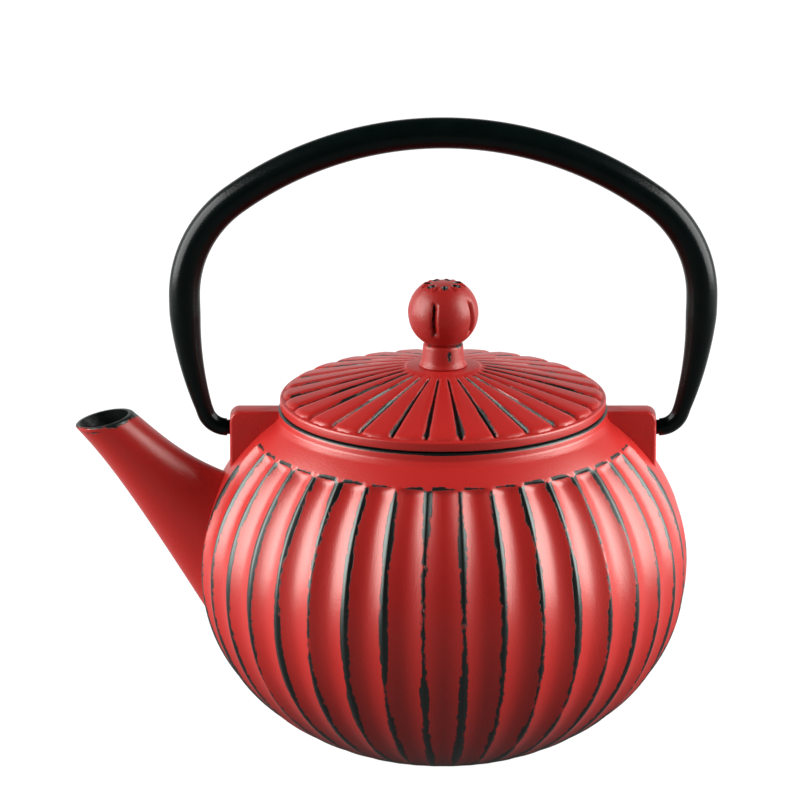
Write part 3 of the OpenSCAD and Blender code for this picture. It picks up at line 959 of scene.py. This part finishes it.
def base_form():
    deselect()
    bpy.ops.mesh.primitive_grid_add(
        x_subdivisions=BASE_GRID, y_subdivisions=BASE_GRID, size=2 * BASKET_R,
        location=(0, 0, BASKET_LOW + 2 * SHEET))
    obj = bpy.context.object
    obj.name = obj.data.name = "infuser_base_sheet"
    freeze()
    mode("EDIT")
    bpy.ops.mesh.select_mode(type="VERT")
    bpy.ops.mesh.select_all(action="DESELECT")
    mode("OBJECT")
    for v in obj.data.vertices:
        v.select = v.co.xy.length > BASE_R
    mode("EDIT")
    bpy.ops.mesh.delete(type="VERT")
    select_open_rings()
    mode("OBJECT")
    for v in obj.data.vertices:
        if v.select:
            v.co.xy = v.co.xy.normalized() * BASE_R
    punch(obj, lambda m: m.xy.length < BASE_R - BASE_MARGIN)
    thicken(obj)
    return obj


basket_wall = wall_form()
basket_base = base_form()
print(f"holes: {(PITCH - 2 * HALF_WEB) / MM:.1f} mm wide, {PITCH / MM:.1f} mm apart")

# %% [markdown]
# ## Helpers for finishes
# Shaders are built from nodes. These helpers add the few kinds that this
# lesson needs, and link them up: noise, ramps, sums, blends and bumps. The
# noise is placed by the piece's own coordinates, so it moves with the piece.

# %% Helpers for materials
def new_material(name):
    material = bpy.data.materials.new(name)
    material.use_nodes = True
    tree = material.node_tree
    return material, tree, tree.nodes["Principled BSDF"]


def noise(tree, scale, detail=3, rough=0.5, tall=1.0):
    """Noise on the piece's own coordinates, with scale in waves a metre."""
    place = tree.nodes.new("ShaderNodeTexCoord")
    stretch = tree.nodes.new("ShaderNodeMapping")
    stretch.inputs["Scale"].default_value = (1, 1, 1 / tall)
    tree.links.new(place.outputs["Object"], stretch.inputs["Vector"])
    texture = tree.nodes.new("ShaderNodeTexNoise")
    texture.inputs["Scale"].default_value = scale
    texture.inputs["Detail"].default_value = detail
    texture.inputs["Roughness"].default_value = rough
    tree.links.new(stretch.outputs["Vector"], texture.inputs["Vector"])
    return texture.outputs["Fac"]


def ramp(tree, value, stops):
    """A colour ramp through (place, colour) stops."""
    node = tree.nodes.new("ShaderNodeValToRGB")
    while len(node.color_ramp.elements) < len(stops):
        node.color_ramp.elements.new(0.5)
    for element, (place, colour) in zip(node.color_ramp.elements, stops):
        element.position = place
        element.color = (*colour, 1)
    tree.links.new(value, node.inputs["Fac"])
    return node.outputs["Color"]


def grey(level):
    return (level, level, level)


def maths(tree, operation, *values):
    """A Math node. Each value is a number or another node's output."""
    node = tree.nodes.new("ShaderNodeMath")
    node.operation = operation
    for socket, value in zip(node.inputs, values):
        if isinstance(value, (int, float)):
            socket.default_value = value
        else:
            tree.links.new(value, socket)
    return node.outputs[0]


def blend_colours(tree, share, a, b):
    node = tree.nodes.new("ShaderNodeMix")
    node.data_type = "RGBA"
    tree.links.new(share, node.inputs["Factor"])
    for name, value in (("A", a), ("B", b)):
        target = [i for i in node.inputs if i.name == name and i.type == "RGBA"][0]
        if isinstance(value, tuple):
            target.default_value = (*value, 1)
        else:
            tree.links.new(value, target)
    return [o for o in node.outputs if o.type == "RGBA"][0]


def set_surface(shader, roughness, specular):
    shader.inputs["Roughness"].default_value = roughness
    shader.inputs["Specular IOR Level"].default_value = specular


def add_bump(tree, shader, height, distance):
    bump = tree.nodes.new("ShaderNodeBump")
    bump.inputs["Strength"].default_value = 1
    bump.inputs["Distance"].default_value = distance
    tree.links.new(height, bump.inputs["Height"])
    tree.links.new(bump.outputs["Normal"], shader.inputs["Normal"])


print("helpers: noise, ramps, maths, blends and bumps")

# %% [markdown]
# ## Red over black
# The pot, the lid and the knob are sprayed: black first, then red over it.
# The red is rubbed off along the pot's edges and the spout's lip, and it
# never reached the bottom of the lid's channels, so the black shows there
# with ragged edges. Black and deep red are also painted as shade: a painted
# shadow line in the gap between the lid and the collar, painted shade on one
# wall of each slit in the knob, and a deep red line where the ball meets its
# stem. The shader needs to know where those places are, so each casting
# carries a value on its points, for bare black and painted shade: 1 is black
# and 0 is full red. Noise in the shader then breaks the edge between the two.

# %% Materials
RED = (0.50, 0.016, 0.013)
DEEP_RED = (0.27, 0.008, 0.008)
SOOT = (0.004, 0.0065, 0.006)
BAIL_DARK, BAIL_LIGHT = (0.0010, 0.0034, 0.0030), (0.0020, 0.0050, 0.0044)
RED_SHEEN, BLACK_SHEEN = (1.0, 0.93, 0.86), (0.86, 1.0, 0.93)
CHIP_WAVES, CHIP_SIZE = 900, 1.5
PATCH_WAVES, PATCH_SIZE = 75, 2.8
BLACK_FROM, BLACK_FULL = 0.49, 0.55
THIN_FROM, THIN_FULL = 0.32, 0.52


def painted_iron(name, tone, roughness, specular):
    """Red over black, with the full red scaled by tone everywhere it shows."""
    material, tree, shader = new_material(name)
    bare_and_shade = tree.nodes.new("ShaderNodeAttribute")
    bare_and_shade.attribute_name = "bare_and_shade"
    chips = maths(tree, "SUBTRACT", noise(tree, CHIP_WAVES, 4, 0.65, tall=2), 0.5)
    patches = maths(tree, "SUBTRACT", noise(tree, PATCH_WAVES, 2, tall=3), 0.5)
    chips = maths(tree, "MULTIPLY", chips, CHIP_SIZE)
    wear = maths(tree, "MULTIPLY_ADD", patches, PATCH_SIZE, chips)
    near = maths(tree, "MULTIPLY", bare_and_shade.outputs["Fac"], 4.0)
    near = maths(tree, "MINIMUM", near, 1.0)
    ragged = maths(tree, "MULTIPLY_ADD", wear, near, bare_and_shade.outputs["Fac"])
    black_share = ramp(tree, ragged, [(BLACK_FROM, grey(0)), (BLACK_FULL, grey(1))])
    # deep red where the paint thins beside the black, and in the painted shade line under
    # the knob's ball
    thin_red_and_shade = ramp(tree, ragged, [(THIN_FROM, grey(0)), (THIN_FULL, grey(1))])
    red = blend_colours(tree, thin_red_and_shade, tuple(tone * c for c in RED), DEEP_RED)
    colour = blend_colours(tree, black_share, red, SOOT)
    tree.links.new(colour, shader.inputs["Base Color"])
    tint = blend_colours(tree, black_share, RED_SHEEN, BLACK_SHEEN)
    tree.links.new(tint, shader.inputs["Specular Tint"])
    set_surface(shader, roughness, specular)
    paint = maths(tree, "SUBTRACT", noise(tree, 1800, 3), black_share)
    add_bump(tree, shader, paint, 0.06 * MM)
    return material


def black_lining():
    material, tree, shader = new_material("black_lining")
    shader.inputs["Base Color"].default_value = (*SOOT, 1)
    set_surface(shader, 0.36, 0.4)
    add_bump(tree, shader, noise(tree, 700, 3), 0.08 * MM)
    return material


def satin_black():
    material, tree, shader = new_material("satin_black_steel")
    tone = ramp(tree, noise(tree, 160, 3), [(0.3, BAIL_DARK), (0.7, BAIL_LIGHT)])
    tree.links.new(tone, shader.inputs["Base Color"])
    set_surface(shader, 0.24, 0.2)
    add_bump(tree, shader, noise(tree, 1200, 2), 0.03 * MM)
    return material


def steel(name, colour, roughness):
    material, tree, shader = new_material(name)
    shader.inputs["Metallic"].default_value = 1
    darker = tuple(0.9 * c for c in colour)
    tone = ramp(tree, noise(tree, 260, 3), [(0.25, darker), (0.75, colour)])
    tree.links.new(tone, shader.inputs["Base Color"])
    shader.inputs["Roughness"].default_value = roughness
    return material


iron_red = painted_iron("red_over_black", 1.0, 0.35, 0.75)
# painted shade: the lid's copy of the red is darker, to stand in for shade on the lid
painted_shade_lid_red = painted_iron("red_over_black_lid_shaded", 0.88, 0.35, 0.75)
# the knob's red is darker than the pot's, and duller
knob_red = painted_iron("red_over_black_knob", 0.76, 0.38, 0.55)
lining = black_lining()
bail_black = satin_black()
stainless = steel("stainless_sheet", (0.78, 0.78, 0.77), 0.42)
zinc = steel("zinc_plated_steel", (0.55, 0.55, 0.52), 0.38)
print("finishes:", ", ".join(m.name for m in bpy.data.materials))

# %% [markdown]
# ## Marking the bare and shaded places
# On the pot, the value is 1 on an edge between two flutes and falls to
# 0 a little way beside it. Above each flute's round end there is a short
# bare dash. On the spout the value rises just at the lip. On the lid it
# follows the channels, and on the knob it follows the slits and the pits.
# Painted shade is written in the same value: a black shadow line on the
# collar's top and on the lid's lower edge, one dark wall in each slit, and a
# deep red line where the ball meets its stem. A black band also runs along
# the foot's lower edge.

# %% Write the bare and shade values
# black for the painted shadow lines in the gap between the lid and the collar
PAINTED_GAP_SHADOW = 1.3  # past 1, so that the noise leaves no red there
LIP_ZONE_X = -BODY_R - 14 * MM
EDGE_W = 1.6 * MM
DASH_W = 0.45 * MM
FOOT_BAND = 1.2 * MM


def write_bare_and_shade(obj, values):
    layer = obj.data.attributes.new("bare_and_shade", "FLOAT", "POINT")
    layer.data.foreach_set("value", values)
    print(f"{obj.name}: {sum(value > 0.5 for value in values)} bare points")


def bare_on_lip(p):
    """A dark band under the lip, wide at the back, and a line in front."""
    direction = (LIP_HIGH - LIP_LOW).normalized()
    back = (p - LIP_LOW).dot(direction) / LIP_D
    below = (p - LIP_LOW).dot(Vector((direction.z, 0, -direction.x)))
    dark = clamp(1.1 - below / (mix(0.45, 2.3, smooth(back)) * MM))
    line = clamp(1.1 - abs(below - 1.5 * MM) / (0.6 * MM)) * smooth((0.6 - back) / 0.3)
    return max(dark, line)


def bare_and_shade_on_pot(p):
    r = math.hypot(p.x, p.y)
    t, out = oval_place(r, p.z)
    if p.x < LIP_ZONE_X:
        return bare_on_lip(p)
    # painted shadow: the collar's top edge is black, for the shadow in the gap under the
    # lid
    if r < NECK_R + 0.1 * MM and p.z > NECK_TOP - 0.4 * MM:
        return PAINTED_GAP_SHADOW
    if out > 0.3 * MM or out < -1.5 * FLUTE_DEPTH:
        return 0.0
    centre, u = flute_place(p.x, p.y)
    below = (start_angle(u) - t) * BODY_R
    edge = clamp(1.05 - from_edge(u, r) / EDGE_W) * smooth(below / (0.5 * MM))
    to_side = abs(abs(centre + u * HALF_FLUTE) - math.pi / 2)
    if to_side < 0.5 * HALF_FLUTE:
        edge *= smooth((PANEL_Z + 0.4 * PANEL_FADE - p.z) / (6 * MM))
    elif to_side < 2.4 * HALF_FLUTE:
        edge *= smooth((PANEL_Z + 2.2 * PANEL_FADE - p.z) / (4 * MM))
    dash = clamp(1.1 - abs(below - 0.1 * MM) / DASH_W) * smooth((0.85 - abs(u)) / 0.3)
    # a black band along the foot's lower edge
    foot = clamp(1.1 - p.z / FOOT_BAND)
    return max(edge, foot, dash * (1 - under_lug(centre, p.z)))


def bare_and_shade_on_lid(p):
    r = math.hypot(p.x, p.y)
    s = dome_share(r)
    # painted shadow: the lid's lower edge is black, for the shadow in the gap over the
    # collar
    if p.z < LID_BASE + 0.5 * MM:
        return PAINTED_GAP_SHADOW
    if not 0.02 < s < 1.0 or p.z < LID_EDGE - 2 * MM:
        return 0.0
    low = clamp(1.4 - 1.45 * rib_rise(lid_place(p)[1], r))
    return low * smooth((s - 0.02) / 0.03) * smooth((0.97 - s) / 0.03)


def shade_and_wear_on_stem(p):
    """A deep red line of painted shade where the ball meets its stem, and one worn streak.
    """
    up, along = p.z - LID_TOP, math.atan2(p.x, -p.y) * p.xy.length
    # painted shade: a deep red line in the crease where the ball meets its stem
    line = 0.45 * clamp(1.3 - abs(up - 6.6 * MM) / (0.5 * MM))
    across = clamp(1.2 - abs(along - 1.8 * MM) / (1.2 * MM))
    streak = across * clamp(1.4 - abs(up - 4 * MM) / (2.5 * MM))
    return max(line, 0.8 * streak)


write_bare_and_shade(pot, [bare_and_shade_on_pot(v.co) for v in pot.data.vertices])
write_bare_and_shade(lid, [bare_and_shade_on_lid(v.co) for v in lid.data.vertices])
write_bare_and_shade(knob, [max(mark, shade_and_wear_on_stem(v.co))
                  for v, mark in zip(knob.data.vertices, knob_marks)])

# %% [markdown]
# ## Hanging it all on the frame
# Each piece rides on the body that moves it, names the CAD nodes that it
# stands for, and takes its finish.

# %% Hand each piece to the frame
SMOOTH_ANGLE = math.radians(40)


def finish_piece(obj, name, material, body, nodes):
    obj.name = obj.data.name = name
    if len(obj.material_slots) == 2:
        obj.material_slots[0].material = material
        obj.material_slots[1].material = lining
    else:
        obj.data.materials.append(material)
    make_active(obj)
    bpy.ops.object.shade_smooth_by_angle(angle=SMOOTH_ANGLE)
    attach(obj, body)
    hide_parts(*nodes)
    print(f"{name}: {len(obj.data.vertices)} points, on {body}")


finish_piece(pot, "pot_casting", iron_red, "pot", ["pot_body"])
finish_piece(lid, "lid_casting", painted_shade_lid_red, "lid", ["lid"])
finish_piece(knob, "knob_casting", knob_red, "lid", ["knob"])
finish_piece(bail, "bail", bail_black, "handle", ["handle"])
finish_piece(rim, "infuser_rim_sheet", stainless, "infuser", ["infuser_rim"])
finish_piece(basket_wall, "infuser_wall_mesh", stainless, "infuser",
             ["infuser_wall"])
finish_piece(base_ring, "infuser_base_band", stainless, "infuser",
             ["infuser_base_ring"])
finish_piece(basket_base, "infuser_base_sheet", stainless, "infuser",
             ["infuser_base_mesh"])
for node in ("knob_screw", "knob_washer"):
    for material_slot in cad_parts[node].material_slots:
        material_slot.material = zinc

# %% [markdown]
# ## The stage and its light
# Red enamel shows its form by what it reflects. Two large soft lights, one
# on each side, put a bright band in every flute and leave the front of the
# pot a deep red. The floor and the backdrop are white to the camera, and the
# floor still takes the pot's soft shadow. In reflections the floor and the
# backdrop are bright behind the pot and dark in front of it, as they are in
# a studio where the camera stands in the dark.

# %% Light and stage
SOFTBOX_X, SOFTBOX_Y, SOFTBOX_Z = 0.85, -0.04, 0.38
SOFTBOX_AIM = Vector((0, 0, 0.06))
SOFTBOX_SIZE, SOFTBOX_WATTS = 0.8, 17
FLOOR_SIZE = 6
FLOOR_Z = -0.1 * MM
FLOOR_COLOUR = grey(0.09)
FLOOR_GLOW = 0.985
FLOOR_MIRRORED = [(0.0, grey(0.04)), (1.0, grey(0.6))]
FILL = 0.14
BACKDROP_BEHIND = [(0.45, grey(0.02)), (0.75, grey(0.8))]
BACKDROP_LOW = [(0.2, grey(1)), (0.5, grey(0.05))]


def soft_light(name, side):
    light = bpy.data.lights.new(name, "AREA")
    light.shape, light.energy = "RECTANGLE", SOFTBOX_WATTS
    light.size = light.size_y = SOFTBOX_SIZE
    obj = bpy.data.objects.new(name, light)
    obj.location = (side * SOFTBOX_X, SOFTBOX_Y, SOFTBOX_Z)
    aim = SOFTBOX_AIM - obj.location
    obj.rotation_euler = aim.to_track_quat("-Z", "Y").to_euler()
    bpy.context.scene.collection.objects.link(obj)


def coordinate(tree, kind, axis):
    """One axis of the place that is shaded."""
    place = tree.nodes.new("ShaderNodeTexCoord")
    split = tree.nodes.new("ShaderNodeSeparateXYZ")
    tree.links.new(place.outputs[kind], split.inputs[0])
    return split.outputs[axis]


def white_to_camera(name, colour):
    """A matt floor that looks white, and takes a shadow."""
    material, tree, shader = new_material(name)
    shader.inputs["Base Color"].default_value = (*colour, 1)
    shader.inputs["Roughness"].default_value = 0.9
    rays = tree.nodes.new("ShaderNodeLightPath").outputs
    mirrored = maths(tree, "ADD", rays["Is Glossy Ray"], rays["Is Transmission Ray"])
    back = maths(tree, "MULTIPLY_ADD", coordinate(tree, "Object", "Y"), 4.0, 0.2)
    mirrored = maths(tree, "MULTIPLY", mirrored, ramp(tree, back, FLOOR_MIRRORED))
    seen = maths(tree, "MULTIPLY", rays["Is Camera Ray"], FLOOR_GLOW)
    glow = tree.nodes.new("ShaderNodeEmission")
    tree.links.new(maths(tree, "ADD", seen, mirrored), glow.inputs["Strength"])
    both = tree.nodes.new("ShaderNodeAddShader")
    tree.links.new(shader.outputs["BSDF"], both.inputs[0])
    tree.links.new(glow.outputs["Emission"], both.inputs[1])
    tree.links.new(both.outputs["Shader"], tree.nodes["Material Output"].inputs["Surface"])
    return material


def studio_world():
    """White to the camera, pale low down behind in reflections, and a dim fill."""
    world = bpy.data.worlds.new("studio")
    world.use_nodes = True
    tree = world.node_tree
    back = maths(tree, "MULTIPLY_ADD", coordinate(tree, "Generated", "Y"), 0.5, 0.5)
    behind = ramp(tree, back, BACKDROP_BEHIND)
    low = ramp(tree, coordinate(tree, "Generated", "Z"), BACKDROP_LOW)
    pale = maths(tree, "MULTIPLY", behind, low)
    rays = tree.nodes.new("ShaderNodeLightPath").outputs
    mirrored = maths(tree, "MAXIMUM", rays["Is Glossy Ray"], rays["Is Transmission Ray"])
    fill = maths(tree, "MULTIPLY_ADD", mirrored, -FILL, FILL)
    strength = maths(tree, "MULTIPLY_ADD", mirrored, pale, fill)
    strength = maths(tree, "MAXIMUM", strength, rays["Is Camera Ray"])
    tree.links.new(strength, tree.nodes["Background"].inputs["Strength"])
    tree.nodes["Background"].inputs["Color"].default_value = (1, 1, 1, 1)
    return world


deselect()
bpy.ops.mesh.primitive_plane_add(size=FLOOR_SIZE, location=(0, 0, FLOOR_Z))
floor = bpy.context.object
floor.name = "floor"
floor.data.materials.append(white_to_camera("pale_floor", FLOOR_COLOUR))
soft_light("left_softbox", -1)
soft_light("right_softbox", 1)
scene = bpy.context.scene
scene.view_settings.view_transform = "Standard"
scene.world = studio_world()
